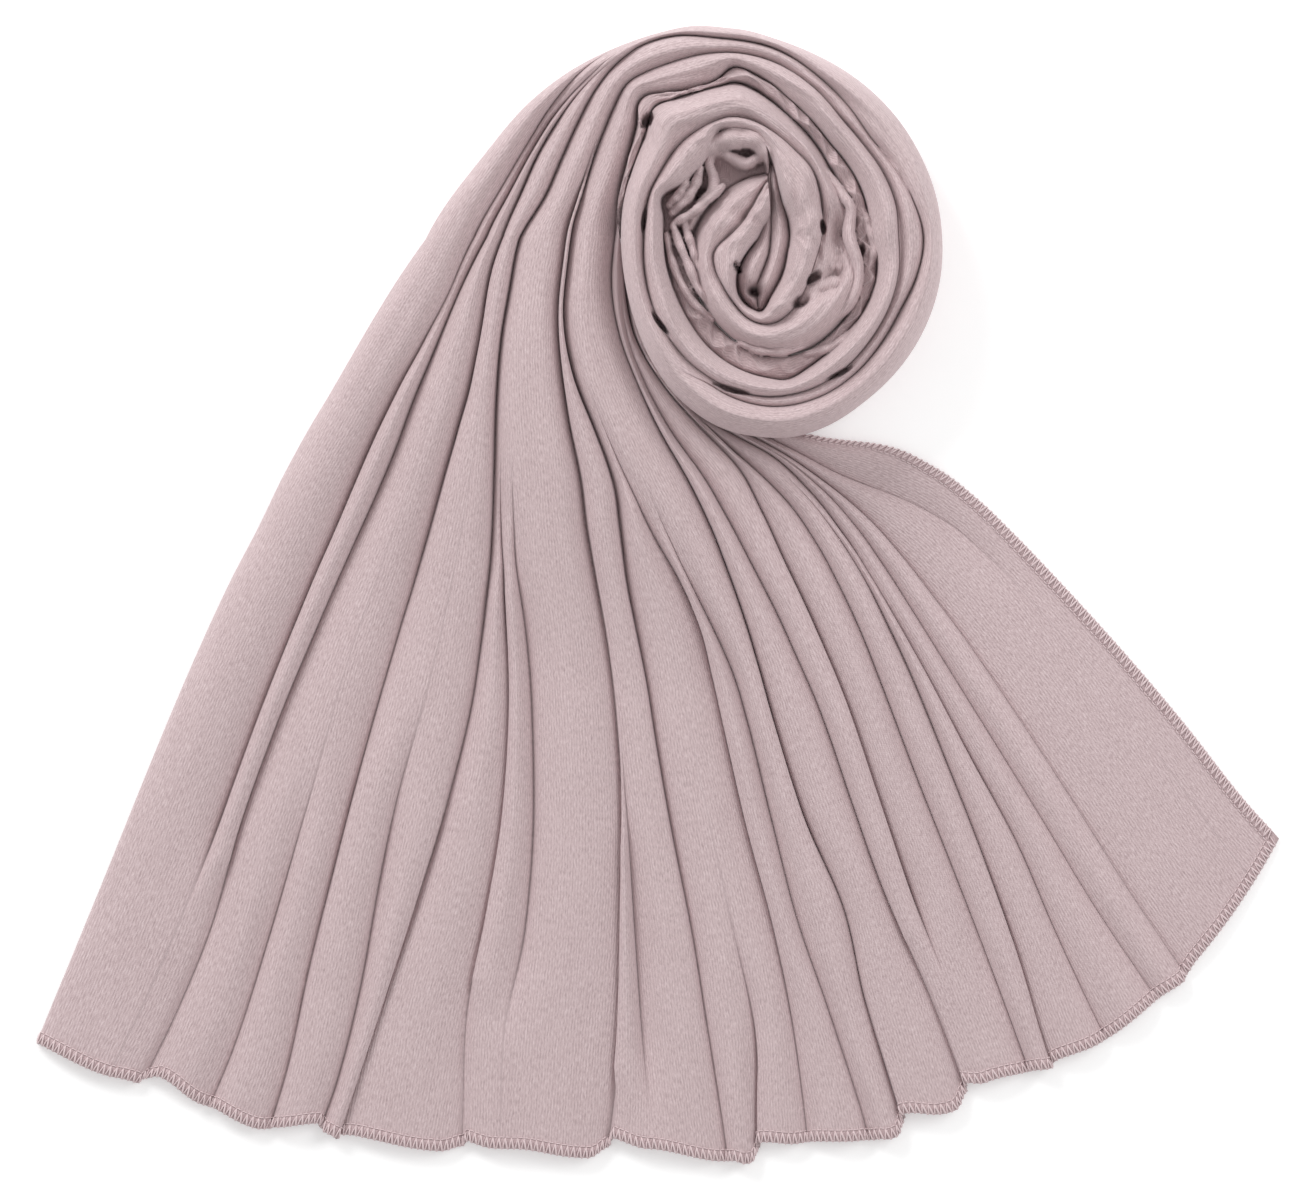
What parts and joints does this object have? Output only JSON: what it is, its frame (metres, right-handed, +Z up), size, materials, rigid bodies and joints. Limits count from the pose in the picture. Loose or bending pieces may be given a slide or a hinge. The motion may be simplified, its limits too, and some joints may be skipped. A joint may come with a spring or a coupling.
{
  "type": "hijab headscarf",
  "caption": "Long plain jersey headscarf laid out, its gathered end wound into a standing coil and its free end spread flat like a fan.",
  "frame": {"origin": "centre of the footprint, on the surface the scarf lies on", "axes": "+Z up from the table, +X to the right along the longest side of the footprint, +Y away from the fanned end towards the coil"},
  "size_m": [0.5994, 0.5452, 0.0462],
  "materials": {
    "ribbed_jersey": "dusty pink heathered fine-ribbed jersey, matt and slightly fuzzy",
    "overlock_thread": "dusty pink overlock stitching, slightly lighter than the cloth"
  },
  "bodies": {
    "root": {"spread_tail": "ribbed_jersey", "end_overlock": "overlock_thread", "side_overlock": "overlock_thread", "coil_heart": "ribbed_jersey", "inner_turn": "ribbed_jersey", "middle_turn": "ribbed_jersey", "outer_turn": "ribbed_jersey", "crown_turn": "ribbed_jersey"}
  },
  "joints": []
}
